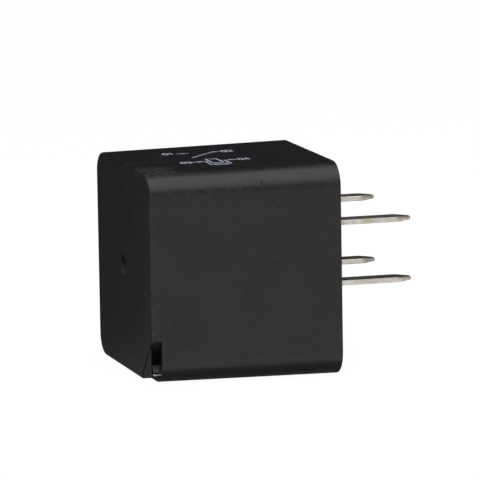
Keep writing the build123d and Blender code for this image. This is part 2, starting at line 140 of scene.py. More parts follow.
def make_lights():
    cool = (0.98, 0.985, 1.03)
    softbox("top_softbox", (0.0, -0.41, 0.45), (0, -0.41, 0), 0.9, 1.00, 1.68, cool)
    softbox("front_softbox", (0.10, -0.95, 0.20), (0, 0, 0.0), 1.1, 0.45, 0.10)
    softbox("floor_reflector", (0.05, -0.345, -0.0135), (0.05, -0.345, 1.0), 1.0, 0.66, 0.57)
    softbox("left_softbox", (-0.58, 0.05, 0.62), (0, 0, 0), 0.55, 0.40, 0.55)
    softbox("right_softbox", (0.8, 0.15, 0.35), (0, 0, 0), 0.5, 0.4, 0.35)
    softbox("left_back_softbox", (-0.80, 0.65, 0.30), (0, 0, 0), 0.5, 0.4, 0.30)
    softbox("right_back_softbox", (0.90, 0.70, 0.30), (0, 0, 0), 0.5, 0.4, 0.40)
    softbox("back_softbox", (-0.1, 0.45, 0.85), (0, 0, 0), 0.5, 0.3, 0.08)


def make_world():
    """White to the camera, a faint cool fill to everything else."""
    world = bpy.data.worlds.new("studio")
    bpy.context.scene.world = world
    world.use_nodes = True
    tree = world.node_tree
    tree.nodes.clear()
    out = tree.nodes.new("ShaderNodeOutputWorld")
    seen = tree.nodes.new("ShaderNodeBackground")
    seen.inputs["Color"].default_value = (1, 1, 1, 1)
    fill = tree.nodes.new("ShaderNodeBackground")
    fill.inputs["Color"].default_value = (0.85, 0.9, 1.0, 1)
    fill.inputs["Strength"].default_value = 0.010
    path = tree.nodes.new("ShaderNodeLightPath")
    mix = tree.nodes.new("ShaderNodeMixShader")
    tree.links.new(path.outputs["Is Camera Ray"], mix.inputs[0])
    tree.links.new(fill.outputs[0], mix.inputs[1])
    tree.links.new(seen.outputs[0], mix.inputs[2])
    tree.links.new(mix.outputs[0], out.inputs[0])


def make_floor():
    """White to the camera, and a weak glow in front of the relay for everything else."""
    mesh = bpy.data.meshes.new("floor")
    r = 6.0
    z = mm(FLOOR_Z)
    mesh.from_pydata([(-r, -r, z), (r, -r, z), (r, r, z), (-r, r, z)], [], [(0, 1, 2, 3)])
    floor = bpy.data.objects.new("floor", mesh)
    bpy.context.scene.collection.objects.link(floor)
    mat = bpy.data.materials.new("floor")
    mat.use_nodes = True
    tree = mat.node_tree
    tree.nodes.clear()
    out = tree.nodes.new("ShaderNodeOutputMaterial")
    grey = tree.nodes.new("ShaderNodeBsdfDiffuse")
    grey.inputs["Color"].default_value = (0.06, 0.06, 0.06, 1)
    glow = tree.nodes.new("ShaderNodeEmission")
    glow.inputs["Strength"].default_value = 0.975
    bounce = tree.nodes.new("ShaderNodeEmission")
    coords = tree.nodes.new("ShaderNodeTexCoord")
    place = tree.nodes.new("ShaderNodeSeparateXYZ")
    fall = tree.nodes.new("ShaderNodeMapRange")
    fall.interpolation_type = "SMOOTHSTEP"
    # from y and to y in metres, then the strength at each
    for socket, value in zip(list(fall.inputs)[1:5], (-0.01, 0.04, 0.13, 0.030)):
        socket.default_value = value
    path = tree.nodes.new("ShaderNodeLightPath")
    lit = tree.nodes.new("ShaderNodeAddShader")
    dim = tree.nodes.new("ShaderNodeAddShader")
    mix = tree.nodes.new("ShaderNodeMixShader")
    tree.links.new(coords.outputs["Object"], place.inputs[0])
    tree.links.new(place.outputs[1], fall.inputs[0])
    tree.links.new(fall.outputs[0], bounce.inputs["Strength"])
    tree.links.new(grey.outputs[0], lit.inputs[0])
    tree.links.new(glow.outputs[0], lit.inputs[1])
    tree.links.new(grey.outputs[0], dim.inputs[0])
    tree.links.new(bounce.outputs[0], dim.inputs[1])
    tree.links.new(path.outputs["Is Camera Ray"], mix.inputs[0])
    tree.links.new(dim.outputs[0], mix.inputs[1])
    tree.links.new(lit.outputs[0], mix.inputs[2])
    tree.links.new(mix.outputs[0], out.inputs[0])
    mesh.materials.append(mat)


# ------------------------------------------------------------------ material building


class Look:
    """Short calls that build one procedural material. Textures use object coordinates in mm."""

    def __init__(self, name):
        self.material = bpy.data.materials.new(name)
        self.material.use_nodes = True
        self.tree = self.material.node_tree
        self.tree.nodes.clear()
        out = self.tree.nodes.new("ShaderNodeOutputMaterial")
        self.shader = self.tree.nodes.new("ShaderNodeBsdfPrincipled")
        self.tree.links.new(self.shader.outputs[0], out.inputs["Surface"])
        coords = self.tree.nodes.new("ShaderNodeTexCoord")
        self.mm = self.vector("SCALE", coords.outputs["Object"], Scale=1000.0)
        self.x, self.y, self.z = self.split(self.mm)

    def put(self, socket, value):
        if isinstance(value, bpy.types.NodeSocket):
            self.tree.links.new(value, socket)
        elif isinstance(value, tuple) and len(value) == 3 and socket.type == "RGBA":
            socket.default_value = (*value, 1.0)
        else:
            socket.default_value = value

    def add(self, kind, **values):
        node = self.tree.nodes.new(kind)
        for key, value in values.items():
            self.put(node.inputs[key], value)
        return node

    def set(self, **values):
        for key, value in values.items():
            self.put(self.shader.inputs[key.replace("_", " ")], value)

    def vector(self, operation, a, b=None, Scale=None):
        node = self.tree.nodes.new("ShaderNodeVectorMath")
        node.operation = operation
        self.put(node.inputs[0], a)
        if b is not None:
            self.put(node.inputs[1], b)
        if Scale is not None:
            node.inputs["Scale"].default_value = Scale
        return node.outputs[0]

    def split(self, v):
        node = self.tree.nodes.new("ShaderNodeSeparateXYZ")
        self.put(node.inputs[0], v)
        return node.outputs[0], node.outputs[1], node.outputs[2]

    def join(self, x, y, z):
        node = self.tree.nodes.new("ShaderNodeCombineXYZ")
        for socket, value in zip(node.inputs, (x, y, z)):
            self.put(socket, value)
        return node.outputs[0]

    def math(self, operation, a, b=None):
        node = self.tree.nodes.new("ShaderNodeMath")
        node.operation = operation
        for socket, value in zip(node.inputs, (a, b)):
            if value is not None:
                self.put(socket, value)
        return node.outputs[0]

    def fade(self, value, lo, hi, to_lo=0.0, to_hi=1.0):
        """Smooth step: to_lo below lo, to_hi above hi. lo may be the larger."""
        node = self.tree.nodes.new("ShaderNodeMapRange")
        node.interpolation_type = "SMOOTHSTEP"
        if lo > hi:
            lo, hi, to_lo, to_hi = hi, lo, to_hi, to_lo
        self.put(node.inputs[0], value)
        for socket, number in zip(list(node.inputs)[1:5], (lo, hi, to_lo, to_hi)):
            socket.default_value = number
        return node.outputs[0]

    def stretch(self, sx, sy, sz):
        return self.vector("MULTIPLY", self.mm, (sx, sy, sz))

    def noise(self, scale, detail=2.0, rough=0.5, vector=None, distortion=0.0):
        node = self.add("ShaderNodeTexNoise", Scale=scale, Detail=detail, Roughness=rough)
        node.inputs["Distortion"].default_value = distortion
        self.put(node.inputs["Vector"], self.mm if vector is None else vector)
        return node.outputs[0]

    def cells(self, scale, feature="F1"):
        node = self.add("ShaderNodeTexVoronoi", Scale=scale)
        node.feature = feature
        self.put(node.inputs["Vector"], self.mm)
        return node

    def mix(self, amount, a, b):
        node = self.tree.nodes.new("ShaderNodeMix")
        node.data_type = "RGBA"
        self.put(node.inputs[0], amount)
        self.put(node.inputs[6], a)
        self.put(node.inputs[7], b)
        return node.outputs[2]

    def blend(self, amount, a, b):
        """Mix of two numbers."""
        node = self.tree.nodes.new("ShaderNodeMix")
        self.put(node.inputs[0], amount)
        self.put(node.inputs[2], a)
        self.put(node.inputs[3], b)
        return node.outputs[0]

    def times(self, *values):
        total = values[0]
        for value in values[1:]:
            total = self.math("MULTIPLY", total, value)
        return total

    def most(self, *values):
        total = values[0]
        for value in values[1:]:
            total = self.math("MAXIMUM", total, value)
        return total

    def bump(self, height, depth_mm, normal=None, strength=1.0):
        node = self.tree.nodes.new("ShaderNodeBump")
        node.inputs["Strength"].default_value = strength
        node.inputs["Distance"].default_value = mm(depth_mm)
        self.put(node.inputs["Height"], height)
        if normal is not None:
            self.put(node.inputs["Normal"], normal)
        return node.outputs[0]

    def scratch(self, across, along, p0, p1, width):
        """A line from p0 to p1 in the plane of two coordinates: 1 on it, 0 away from it."""
        du = p1[0] - p0[0]
        dv = p1[1] - p0[1]
        length = math.hypot(du, dv)
        du /= length
        dv /= length
        u = self.math("SUBTRACT", across, p0[0])
        v = self.math("SUBTRACT", along, p0[1])
        run = self.math("ADD", self.math("MULTIPLY", u, du), self.math("MULTIPLY", v, dv))
        off = self.math("SUBTRACT", self.math("MULTIPLY", v, du), self.math("MULTIPLY", u, dv))
        near = self.fade(self.math("ABSOLUTE", off), width, width * 0.3)
        start = self.fade(run, -0.05, 0.15)
        end = self.fade(run, length, length * 0.8)
        return self.times(near, start, end)


def cover_look():
    """Moulded black plastic: spark eroded grain, polished and scuffed edges, dust and scratches,
    with painted shade and a painted reflection in the gate dimple and a painted glint in the vent
    corner.
    """
    m = Look("cover_plastic")
    cloud = m.noise(0.16, 3.0, 0.55)
    tone = m.noise(1.1, 4.0, 0.6)
    grain = m.noise(7.5, 3.0, 0.6)
    pits = m.cells(5.0, "SMOOTH_F1").outputs["Distance"]
    fine = m.noise(16.0, 2.0, 0.5)
    base = m.mix(m.fade(cloud, 0.35, 0.65), (0.0085, 0.0085, 0.0093), (0.0130, 0.0130, 0.0135))
    base = m.mix(m.times(m.fade(tone, 0.5, 0.72), 0.35), base, (0.026, 0.026, 0.026))
    base = m.mix(m.times(m.fade(grain, 0.52, 0.7), 0.4), base, (0.03, 0.03, 0.03))

    mottle = m.noise(2.3, 3.0, 0.65)
    base = m.mix(m.times(m.fade(mottle, 0.42, 0.64), 0.5), base, (0.021, 0.021, 0.021))

    # worn mould edges at the closed end and the rim
    end = m.fade(m.x, -25.15, -25.65)
    rim = m.fade(m.x, -0.35, -0.02)
    wear = m.times(m.most(end, m.times(rim, 0.6)), m.fade(m.noise(2.3, 4.0, 0.7), 0.42, 0.68))
    base = m.mix(m.times(wear, 0.55), base, (0.05, 0.05, 0.05))

    # scuffed patch on the printed side, by the closed end and the near edge
    dx = m.math("MULTIPLY", m.math("ADD", m.x, 23.6), 0.36)
    dy = m.math("MULTIPLY", m.math("ADD", m.y, 9.0), 0.27)
    reach = m.math("ADD", m.math("MULTIPLY", dx, dx), m.math("MULTIPLY", dy, dy))
    patch = m.times(m.fade(reach, 1.5, 0.1), m.fade(m.z, 12.6, 13.4))
    scuff = m.times(patch, m.fade(m.noise(3.2, 5.0, 0.75, m.stretch(0.7, 1.6, 1.0)), 0.50, 0.60))
    base = m.mix(m.times(scuff, 0.8), base, (0.13, 0.13, 0.13))

    # rubbed spots all over the printed side
    rubbed = m.times(m.fade(m.noise(3.6, 4.0, 0.7), 0.56, 0.68), m.fade(m.z, 12.9, 13.5))
    base = m.mix(m.times(rubbed, 0.45), base, (0.05, 0.05, 0.05))

    # painted light in the gate dimple: the whole dimple is painted lighter as a painted reflection
    # of its lower wall, then its upper half gets painted shade
    dy2 = m.math("MULTIPLY", m.y, m.y)
    dz2 = m.math("MULTIPLY", m.z, m.z)
    dimple_painted_light = m.times(m.fade(m.math("ADD", dy2, dz2), 2.5, 2.1), m.fade(m.x, -25.71, -25.62))
    shade = m.times(dimple_painted_light, m.fade(m.z, -0.15, 0.2))
    base = m.mix(m.times(dimple_painted_light, 0.6), base, (0.045, 0.045, 0.045))
    # painted shade: the upper half of the dimple darkened to near black
    base = m.mix(shade, base, (0.003, 0.003, 0.003))

    # fine pale dust and nicks
    dust_cells = m.cells(0.62)
    lucky = m.math("GREATER_THAN", m.split(dust_cells.outputs["Color"])[0], 0.55)
    dust = m.times(m.fade(dust_cells.outputs["Distance"], 0.075, 0.03), lucky)
    small_cells = m.cells(1.5)
    lucky_small = m.math("GREATER_THAN", m.split(small_cells.outputs["Color"])[1], 0.72)
    small = m.times(m.fade(small_cells.outputs["Distance"], 0.07, 0.03), lucky_small)
    specks = m.most(dust, m.times(small, 0.6))
    base = m.mix(m.times(specks, 0.6), base, (0.10, 0.10, 0.10))

    # scratches on the near side, the closed end and the far side
    near_side = m.fade(m.y, -12.2, -13.0)
    broken = m.fade(m.noise(3.0, 2.0, 0.5), 0.4, 0.55)
    marks = m.times(
        m.most(
            m.scratch(m.x, m.z, (-10.7, 12.3), (-9.8, 10.8), 0.17),
            m.times(m.scratch(m.x, m.z, (-9.4, 10.0), (-8.1, 8.3), 0.09), 0.9),
            m.times(m.scratch(m.x, m.z, (-22.8, 3.5), (-19.5, 3.2), 0.05), 0.4),
            m.times(m.scratch(m.x, m.z, (-6.6, -3.0), (-5.2, -7.0), 0.05), 0.4),
        ),
        near_side,
        broken,
    )
    far_side = m.fade(m.y, 12.2, 13.0)
    far_marks = m.times(
        m.most(
            m.scratch(m.x, m.z, (-17.0, 6.0), (-12.0, 1.5), 0.06),
            m.scratch(m.x, m.z, (-8.0, -4.0), (-4.5, -1.0), 0.05),
        ),
        far_side,
        broken,
    )
    end_marks = m.times(
        m.most(
            m.scratch(m.y, m.z, (-12.6, 9.5), (-10.8, 8.9), 0.07),
            m.times(m.scratch(m.y, m.z, (5.0, 8.0), (9.0, 3.0), 0.05), 0.6),
        ),
        m.fade(m.x, -25.3, -25.6),
        broken,
    )
    marks = m.most(marks, far_marks, end_marks)
    # painted glint: a bright strip along the edge of the bar in the vent corner
    painted_glint_on_bar = m.times(
        m.fade(m.z, -12.54, -12.49),
        m.fade(m.z, -12.21, -12.25),
        m.fade(m.y, -13.31, -13.27),
        m.fade(m.y, -12.98, -13.03),
        m.fade(m.x, -24.2, -24.3),
        m.fade(m.x, -24.2, -25.3, 0.25, 1.0),
    )
    # painted glint: the bar's edge painted near white
    base = m.mix(painted_glint_on_bar, base, (0.62, 0.62, 0.61))
    base = m.mix(m.times(marks, 0.9), base, (0.003, 0.003, 0.003))

    rough = m.blend(m.fade(tone, 0.3, 0.7), 0.34, 0.43)
    rough = m.math("ADD", rough, m.fade(mottle, 0.35, 0.65, -0.04, 0.05))
    rough = m.math("ADD", rough, m.times(m.most(scuff, wear), 0.10))
    rough = m.math("SUBTRACT", rough, m.times(rim, 0.05))
    rough = m.math("ADD", rough, m.times(m.most(marks, shade), 0.4))
    height = m.math("ADD", m.times(grain, 0.55), m.times(pits, 0.5))
    height = m.math("ADD", height, m.times(fine, 0.25))
    surface = m.bump(height, 0.020)
    surface = m.bump(mottle, 0.022, surface)
    surface = m.bump(m.noise(0.45, 1.0, 0.4), 0.05, surface, 0.6)
    surface = m.bump(m.math("SUBTRACT", 1.0, m.most(marks, m.times(scuff, 0.6))), 0.04, surface)
    m.set(Base_Color=base, Roughness=rough, Normal=surface)
    m.shader.inputs["IOR"].default_value = 1.5
    return m.material


def base_look():
    """Glass filled black plastic: slightly glossier, with fibre flecks and flow lines."""
    m = Look("base_plastic")
    cloud = m.noise(0.4, 3.0, 0.6)
    fibre = m.noise(5.0, 2.0, 0.5, m.stretch(0.35, 2.2, 1.3))
    grain = m.noise(11.0, 2.0, 0.55)
    base = m.mix(m.fade(cloud, 0.35, 0.65), (0.012, 0.012, 0.012), (0.02, 0.02, 0.021))
    base = m.mix(m.times(m.fade(fibre, 0.6, 0.72), 0.5), base, (0.05, 0.05, 0.048))
    # rubbed tops of the raised numbers
    raised = m.fade(m.x, 0.10, 0.13)
    base = m.mix(m.times(raised, 0.8), base, (0.075, 0.075, 0.073))
    rough = m.blend(m.fade(cloud, 0.3, 0.7), 0.33, 0.46)
    surface = m.bump(m.math("ADD", m.times(grain, 0.5), m.times(fibre, 0.5)), 0.008)
    surface = m.bump(m.noise(0.6, 1.0, 0.4), 0.03, surface, 0.5)
    m.set(Base_Color=base, Roughness=rough, Normal=surface)
    return m.material


def tinned_look():
    """Tin plating on brass: warm, dulled, with brown tarnish and rolling marks."""
    m = Look("tinned_brass")
    wash = m.noise(0.55, 3.0, 0.6, m.stretch(0.6, 1.4, 1.4))
    stain = m.noise(1.3, 4.0, 0.65, m.stretch(0.8, 1.2, 1.2))
    speckle = m.noise(3.4, 3.0, 0.7, m.stretch(0.8, 1.0, 1.6))
    grain = m.noise(6.0, 3.0, 0.6)
    roll = m.noise(1.0, 2.0, 0.5, m.stretch(0.7, 11.0, 11.0))
    base = m.mix(m.fade(wash, 0.35, 0.65), (0.86, 0.80, 0.70), (0.95, 0.91, 0.85))
    base = m.mix(m.times(m.fade(stain, 0.48, 0.66), 0.65), base, (0.70, 0.55, 0.34))
    base = m.mix(m.times(m.fade(speckle, 0.56, 0.72), 0.5), base, (0.42, 0.31, 0.19))
    # brass shows where the plating has worn off near the tip
    tip = m.times(m.fade(m.x, 8.4, 10.4), m.fade(m.noise(2.2, 3.0, 0.6), 0.42, 0.62))
    base = m.mix(m.times(tip, 0.35), base, (0.58, 0.46, 0.30))
    rough = m.blend(m.fade(stain, 0.35, 0.68), 0.27, 0.40)
    rough = m.math("ADD", rough, m.times(m.fade(grain, 0.4, 0.7), 0.06))
    surface = m.bump(roll, 0.0035)
    surface = m.bump(grain, 0.004, surface)
    surface = m.bump(m.noise(1.1, 2.0, 0.5), 0.02, surface, 0.6)
    m.set(Base_Color=base, Roughness=rough, Normal=surface)
    m.shader.inputs["Metallic"].default_value = 1.0
    return m.material


def steel_look():
    """Zinc plated soft iron: brushed, with passivation tints and dull spots."""
    m = Look("plated_steel")
    tint = m.noise(0.35, 3.0, 0.6)
    spots = m.noise(2.4, 4.0, 0.65)
    brush = m.noise(1.0, 3.0, 0.6, m.stretch(0.9, 14.0, 2.2))
    grain = m.noise(9.0, 2.0, 0.5)
    base = m.mix(m.fade(tint, 0.35, 0.65), (0.56, 0.57, 0.58), (0.68, 0.67, 0.62))
    base = m.mix(m.times(m.fade(spots, 0.56, 0.7), 0.5), base, (0.38, 0.38, 0.38))
    base = m.mix(m.times(m.fade(brush, 0.55, 0.75), 0.3), base, (0.8, 0.8, 0.8))
    rough = m.blend(m.fade(spots, 0.35, 0.68), 0.26, 0.44)
    surface = m.bump(brush, 0.006)
    surface = m.bump(grain, 0.004, surface)
    surface = m.bump(m.noise(0.8, 1.0, 0.4), 0.02, surface, 0.6)
    m.set(Base_Color=base, Roughness=rough, Normal=surface)
    m.shader.inputs["Metallic"].default_value = 1.0
    return m.material


def bobbin_look():
    """Natural nylon: milky, with flow marks and a fine grain."""
    m = Look("bobbin_plastic")
    flow = m.noise(0.5, 4.0, 0.6, m.stretch(0.4, 1.0, 1.0), 0.6)
    fine = m.noise(6.0, 3.0, 0.6)
    base = m.mix(m.fade(flow, 0.35, 0.65), (0.60, 0.56, 0.46), (0.72, 0.69, 0.60))
    base = m.mix(m.times(m.fade(fine, 0.58, 0.75), 0.25), base, (0.5, 0.45, 0.36))
    rough = m.blend(m.fade(fine, 0.3, 0.7), 0.38, 0.52)
    surface = m.bump(fine, 0.008)
    surface = m.bump(m.noise(0.7, 1.0, 0.4), 0.03, surface, 0.5)
    m.set(Base_Color=base, Roughness=rough, Normal=surface)
    m.shader.inputs["Subsurface Weight"].default_value = 0.12
    m.shader.inputs["Subsurface Radius"].default_value = (0.0012, 0.0009, 0.0006)
    return m.material


def enamel_look():
    """Enamelled copper wire: red brown under clear varnish, each turn a little different."""
    m = Look("enamelled_copper")
    turns = m.noise(1.0, 1.0, 0.4, m.stretch(3.2, 0.12, 0.12))
    along = m.noise(1.6, 3.0, 0.6)
    base = m.mix(m.fade(turns, 0.3, 0.7), (0.50, 0.145, 0.045), (0.66, 0.25, 0.09))
    base = m.mix(m.times(m.fade(along, 0.55, 0.75), 0.4), base, (0.30, 0.08, 0.03))
    rough = m.blend(m.fade(along, 0.3, 0.7), 0.20, 0.34)
    surface = m.bump(m.noise(7.0, 2.0, 0.5), 0.004)
    m.set(Base_Color=base, Roughness=rough, Normal=surface)
    m.shader.inputs["Metallic"].default_value = 0.85
    m.shader.inputs["Coat Weight"].default_value = 0.5
    m.shader.inputs["Coat Roughness"].default_value = 0.15
    return m.material


def resistor_look(mid_z):
    """Tan lacquer with coloured value bands and a soft gloss."""
    m = Look("resistor_lacquer")
    cloud = m.noise(1.2, 3.0, 0.6)
    wobble = m.times(m.math("SUBTRACT", m.noise(1.4, 2.0, 0.5), 0.5), 0.18)
    z = m.math("ADD", m.math("SUBTRACT", m.z, mid_z), wobble)
    base = m.mix(m.fade(cloud, 0.35, 0.65), (0.50, 0.34, 0.18), (0.60, 0.44, 0.26))
    bands = [
        (2.35, (0.05, 0.12, 0.42)),
        (0.95, (0.25, 0.24, 0.24)),
        (0.0, (0.20, 0.07, 0.03)),
        (-2.4, (0.62, 0.42, 0.10)),
    ]
    for centre, colour in bands:
        off = m.math("ABSOLUTE", m.math("SUBTRACT", z, centre))
        base = m.mix(m.fade(off, 0.33, 0.27), base, colour)
    dark = m.fade(m.noise(5.0, 3.0, 0.6), 0.58, 0.72)
    base = m.mix(m.times(dark, 0.25), base, (0.2, 0.12, 0.06))
    surface = m.bump(m.noise(2.2, 2.0, 0.5), 0.02)
    m.set(Base_Color=base, Roughness=m.blend(cloud, 0.22, 0.36), Normal=surface)
    m.shader.inputs["Coat Weight"].default_value = 0.3
    m.shader.inputs["Coat Roughness"].default_value = 0.1
    return m.material


def solder_look():
    """Tin solder and tinned wire: bright, slightly frosted, with flux stains."""
    m = Look("solder")
    frost = m.noise(4.0, 4.0, 0.65)
    flux = m.noise(0.9, 3.0, 0.6)
    base = m.mix(m.fade(frost, 0.4, 0.65), (0.60, 0.60, 0.61), (0.78, 0.78, 0.78))
    base = m.mix(m.times(m.fade(flux, 0.56, 0.7), 0.45), base, (0.50, 0.40, 0.24))
    surface = m.bump(frost, 0.015)
    surface = m.bump(m.noise(1.3, 2.0, 0.5), 0.04, surface, 0.6)
    m.set(Base_Color=base, Roughness=m.blend(m.fade(frost, 0.4, 0.7), 0.18, 0.42), Normal=surface)
    m.shader.inputs["Metallic"].default_value = 1.0
    return m.material


def bronze_look():
    """Rolled spring bronze: fine lines along the strip, brown and rosy tints."""
    m = Look("spring_bronze")
    tint = m.noise(0.4, 3.0, 0.6)
    roll = m.noise(1.0, 2.0, 0.5, m.stretch(1.0, 12.0, 0.8))
    spots = m.noise(3.0, 4.0, 0.65)
    base = m.mix(m.fade(tint, 0.35, 0.65), (0.60, 0.34, 0.13), (0.72, 0.46, 0.22))
    base = m.mix(m.times(m.fade(spots, 0.57, 0.7), 0.4), base, (0.34, 0.17, 0.08))
    surface = m.bump(roll, 0.006)
    surface = m.bump(spots, 0.006, surface)
    m.set(Base_Color=base, Roughness=m.blend(m.fade(spots, 0.3, 0.7), 0.22, 0.38), Normal=surface)
    m.shader.inputs["Metallic"].default_value = 1.0
    return m.material


def braid_look():
    """Bare copper strands, bright on top and brown where they cross."""
    m = Look("bare_copper")
    tint = m.noise(1.5, 3.0, 0.6)
    fine = m.noise(9.0, 2.0, 0.5)
    base = m.mix(m.fade(tint, 0.35, 0.65), (0.66, 0.30, 0.15), (0.80, 0.44, 0.26))
    base = m.mix(m.times(m.fade(fine, 0.55, 0.7), 0.4), base, (0.36, 0.14, 0.06))
    surface = m.bump(fine, 0.006)
    m.set(Base_Color=base, Roughness=m.blend(tint, 0.24, 0.40), Normal=surface)
    m.shader.inputs["Metallic"].default_value = 1.0
    return m.material


def contact_look():
    """Silver alloy contact, with the sooty spot that switching leaves in the middle."""
    m = Look("contact_alloy")
    cloud = m.noise(1.8, 4.0, 0.65)
    middle_z = 8.45
    off = m.join(0.0, m.y, m.math("SUBTRACT", m.z, middle_z))
    reach = m.vector("LENGTH", off).node.outputs["Value"]
    soot = m.times(m.fade(reach, 1.1, 0.3), m.fade(cloud, 0.4, 0.6))
    base = m.mix(m.fade(cloud, 0.35, 0.65), (0.66, 0.65, 0.62), (0.82, 0.81, 0.78))
    base = m.mix(m.times(soot, 0.75), base, (0.12, 0.11, 0.10))
    surface = m.bump(m.noise(5.0, 3.0, 0.6), 0.01)
    m.set(Base_Color=base, Roughness=m.blend(soot, 0.28, 0.6), Normal=surface)
    m.shader.inputs["Metallic"].default_value = 1.0
    return m.material


def ink_look():
    """Bluish white pad printed ink, thin in places."""
    m = Look("print_ink")
    worn = m.noise(4.5, 4.0, 0.7)
    cloud = m.noise(0.8, 2.0, 0.5)
    base = m.mix(m.fade(cloud, 0.35, 0.65), (0.52, 0.57, 0.68), (0.64, 0.69, 0.80))
    base = m.mix(m.times(m.fade(worn, 0.5, 0.66), 0.75), base, (0.10, 0.10, 0.11))
    surface = m.bump(worn, 0.008)
    m.set(Base_Color=base, Roughness=m.blend(cloud, 0.5, 0.62), Normal=surface)
    return m.material


# ------------------------------------------------------------------ piece building


def smooth(mesh, angle):
    for polygon in mesh.polygons:
        polygon.use_smooth = True
    mesh.set_sharp_from_angle(angle=math.radians(angle))


def link(obj):
    bpy.context.scene.collection.objects.link(obj)
    return obj


def finish_piece(obj, body, slot, material, *nodes):
    """One material and one body for the piece, and the CAD nodes that it stands for. The slot
    argument is not used.
    """
    obj.data.materials.clear()
    obj.data.materials.append(material)
    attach(obj, body)
    if nodes:
        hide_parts(*nodes)
    return obj


def cleaned(node, angle=1.0):
    """The CAD node's mesh as a new mesh, welded and with its flat faces joined up."""
    mesh = frame["nodes"][node].data.copy()
    bm = bmesh.new()
    bm.from_mesh(mesh)
    bmesh.ops.remove_doubles(bm, verts=bm.verts, dist=2e-7)
    bmesh.ops.dissolve_limit(
        bm,
        angle_limit=math.radians(angle),
        verts=bm.verts[:],
        edges=bm.edges[:],
        delimit={"SHARP"},
    )
    bm.to_mesh(mesh)
    bm.free()
    return mesh


def refined(node, name, body, slot, material, width, segments):
    """A copy of a CAD node with its sharp edges rounded, standing for that node."""
    mesh = cleaned(node)
    obj = link(bpy.data.objects.new(name, mesh))
    bevel = obj.modifiers.new("edges", "BEVEL")
    bevel.width = mm(width)
    bevel.segments = segments
    bevel.limit_method = "ANGLE"
    bevel.angle_limit = math.radians(35.0)
    bevel.use_clamp_overlap = True
    bevel.harden_normals = False
    bevel.miter_outer = "MITER_ARC"
    apply_modifiers(obj)
    smooth(obj.data, 40.0)
    weigh = obj.modifiers.new("normals", "WEIGHTED_NORMAL")
    weigh.keep_sharp = True
    return finish_piece(obj, body, slot, material, node)


def apply_modifiers(obj):
    bpy.context.view_layer.update()
    graph = bpy.context.evaluated_depsgraph_get()
    mesh = bpy.data.meshes.new_from_object(obj.evaluated_get(graph), depsgraph=graph)
    obj.modifiers.clear()
    obj.data = mesh


def tube_rings(bm, points, frames, radius, sides):
    """Rings of vertices along a path, joined into a tube with closed ends.

    frames holds two side vectors per point."""
    rings = []
    for point, (a, b) in zip(points, frames):
        ring = []
        for k in range(sides):
            turn = 2 * math.pi * k / sides
            out = a * math.cos(turn) + b * math.sin(turn)
            ring.append(bm.verts.new(point + radius * out))
        rings.append(ring)
    for one, two in zip(rings, rings[1:]):
        for k in range(sides):
            n = (k + 1) % sides
            bm.faces.new((one[k], one[n], two[n], two[k]))
    bm.faces.new(list(reversed(rings[0])))
    bm.faces.new(rings[-1])


def side_vectors(points):
    """Two vectors across the path at each point, carried along it without twisting."""
    frames = []
    a = None
    for i in range(len(points)):
        before = points[max(i - 1, 0)]
        after = points[min(i + 1, len(points) - 1)]
        ahead = (after - before).normalized()
        if a is None:
            a = ahead.orthogonal().normalized()
        a = (a - ahead * a.dot(ahead)).normalized()
        frames.append((a, ahead.cross(a)))
    return frames


def mesh_object(name, bm, angle=40.0):
    bmesh.ops.recalc_face_normals(bm, faces=bm.faces[:])
    mesh = bpy.data.meshes.new(name)
    bm.to_mesh(mesh)
    bm.free()
    smooth(mesh, angle)
    return link(bpy.data.objects.new(name, mesh))


# ------------------------------------------------------------------ coil


def make_winding(material):
    """Outer layer of turns over a plain inner layer, between the bobbin's flanges."""
    lo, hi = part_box("coil_winding")
    axis_z = (lo.z + hi.z) / 2
    outer = (hi.z - lo.z) / 2
    wire = mm(0.15)  # radius
    pitch = 2.02 * wire
    length = (hi.x - lo.x) - 2 * wire
    turns = int(length / pitch)
    steps = 40  # points per turn
    rng = random.Random(4)
    jitter = [rng.uniform(-0.10, 0.10) for _ in range(turns + 2)]
    points = []
    frames = []
    for i in range(turns * steps + 1):
        t = i / steps
        turn = 2 * math.pi * t
        k = int(t)
        sway = jitter[k] * (1 - (t - k)) + jitter[k + 1] * (t - k)
        x = lo.x + wire + length * t / turns + sway * wire
        out = Vector((0, math.sin(turn), math.cos(turn)))
        r = outer - wire - abs(sway) * wire * 0.6
        points.append(Vector((x, 0, axis_z)) + out * r)
        frames.append((out, Vector((1, 0, 0))))
    bm = bmesh.new()
    tube_rings(bm, points, frames, wire, 8)
    inner = outer - wire * 1.25
    bore = mm(3.9)
    sides = 64
    rings = []
    for x in (lo.x, hi.x):
        for r in (bore, inner):
            ring = []
            for k in range(sides):
                turn = 2 * math.pi * k / sides
                ring.append(bm.verts.new((x, r * math.sin(turn), axis_z + r * math.cos(turn))))
            rings.append(ring)
    order = [rings[0], rings[1], rings[3], rings[2]]
    for one, two in zip(order, order[1:] + order[:1]):
        for k in range(sides):
            n = (k + 1) % sides
            bm.faces.new((one[k], one[n], two[n], two[k]))
    obj = mesh_object("coil_turns", bm)
    return finish_piece(obj, BASE, "enamelled_copper", material, "coil_winding")


# ------------------------------------------------------------------ braid


def braid_path():
    """From the top of the common blade to the outer face of the contact spring."""
    low_z = COMMON_BLADE_Z + BLADE_HALF_T + BRAID_R + 0.04
    end = hinge_turned(HINGE_X - ARMATURE_T - SPRING_T - BRAID_R - 0.02, 2.0)
    return [
        mm(-11.4, 8.9, low_z),
        mm(-13.5, 8.9, low_z),
        mm(-17.0, 9.6, low_z + 0.35),
        mm(-20.4, 10.3, -0.6),
        mm(-22.6, 9.2, 0.6),
        mm(end[0] - 0.1, 6.9, 1.5),
        mm(end[0], 4.6, end[1]),
        mm(end[0], 2.2, end[1]),
    ]


